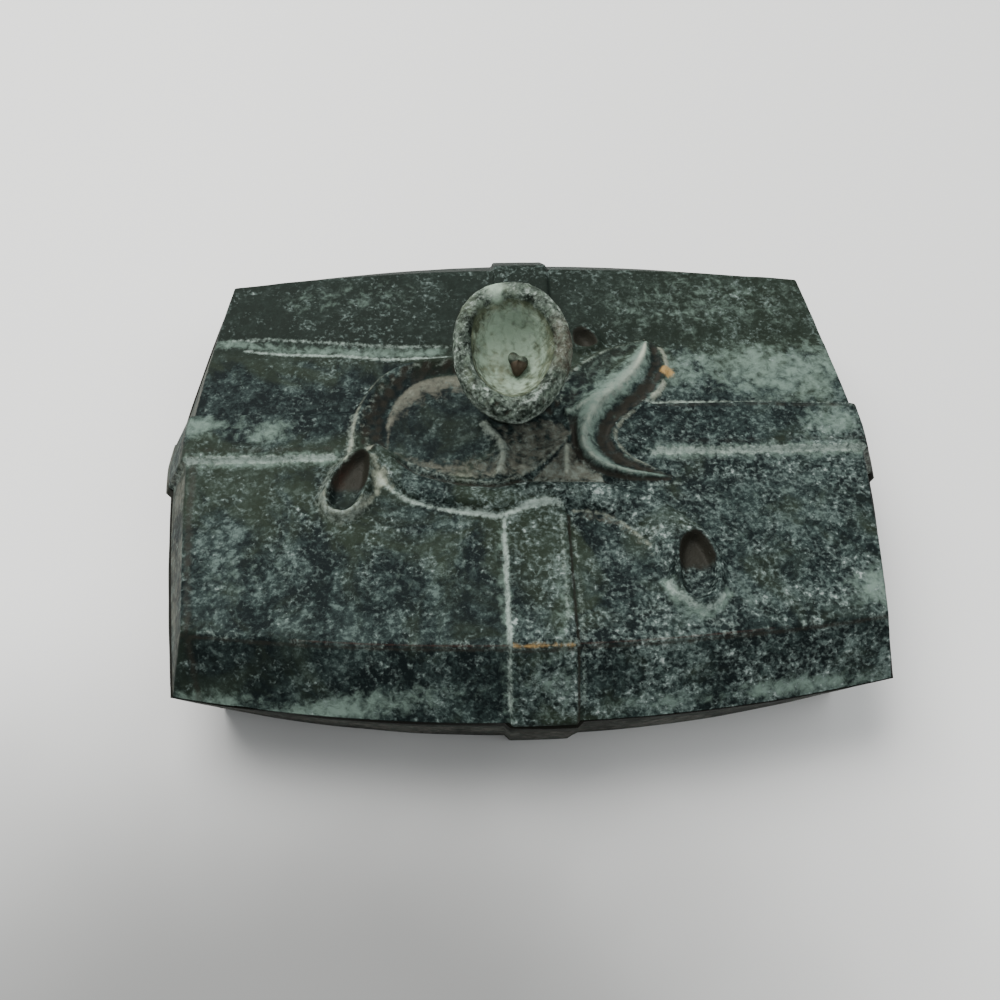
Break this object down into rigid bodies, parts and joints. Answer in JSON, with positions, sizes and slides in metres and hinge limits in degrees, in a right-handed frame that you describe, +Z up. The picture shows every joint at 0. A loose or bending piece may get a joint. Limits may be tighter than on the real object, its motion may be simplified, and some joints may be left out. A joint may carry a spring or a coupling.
{
  "type": "trinket box",
  "caption": "Cast metal trinket box: shallow tapered tray, loose flat-topped lid with raised ribbon bands, knot relief and cup-shaped knob.",
  "frame": {"origin": "middle of the tray's underside, on the surface it stands on", "axes": "+Z up, +X along the length, +Y towards the back of the box"},
  "size_m": [0.1246, 0.098, 0.046],
  "materials": {
    "tray_bronze": "worn grey-brown patina, satin",
    "lid_bronze": "blue-black patina with pale mineral speckles",
    "band_bronze": "dark patina, satin",
    "verdigris_bronze": "chalky verdigris",
    "brown_bronze": "glossy brown patina"
  },
  "bodies": {
    "tray": {"tray": "tray_bronze", "tray_band_left": "tray_bronze", "tray_band_right": "tray_bronze", "tray_band_front": "tray_bronze", "tray_band_back": "tray_bronze"},
    "lid": {"lid_shell": "lid_bronze", "lid_locating_rim": "lid_bronze", "lid_band_left": "band_bronze", "lid_band_right": "band_bronze", "lid_band_front": "band_bronze", "lid_band_back": "band_bronze", "knot_dish": "brown_bronze", "knot_ribbon_tail": "lid_bronze", "knot_leaf": "verdigris_bronze", "knot_web": "lid_bronze", "ribbon_tip_right": "brown_bronze", "ribbon_tip_left": "brown_bronze", "ribbon_tip_back": "brown_bronze", "knob_cup": "verdigris_bronze", "knob_pip": "brown_bronze"}
  },
  "joints": [
    {"name": "lid_lift", "type": "slide", "parent": "tray", "child": "lid", "axis": [0, 0, 1], "range_m": [0, 0.06]}
  ]
}
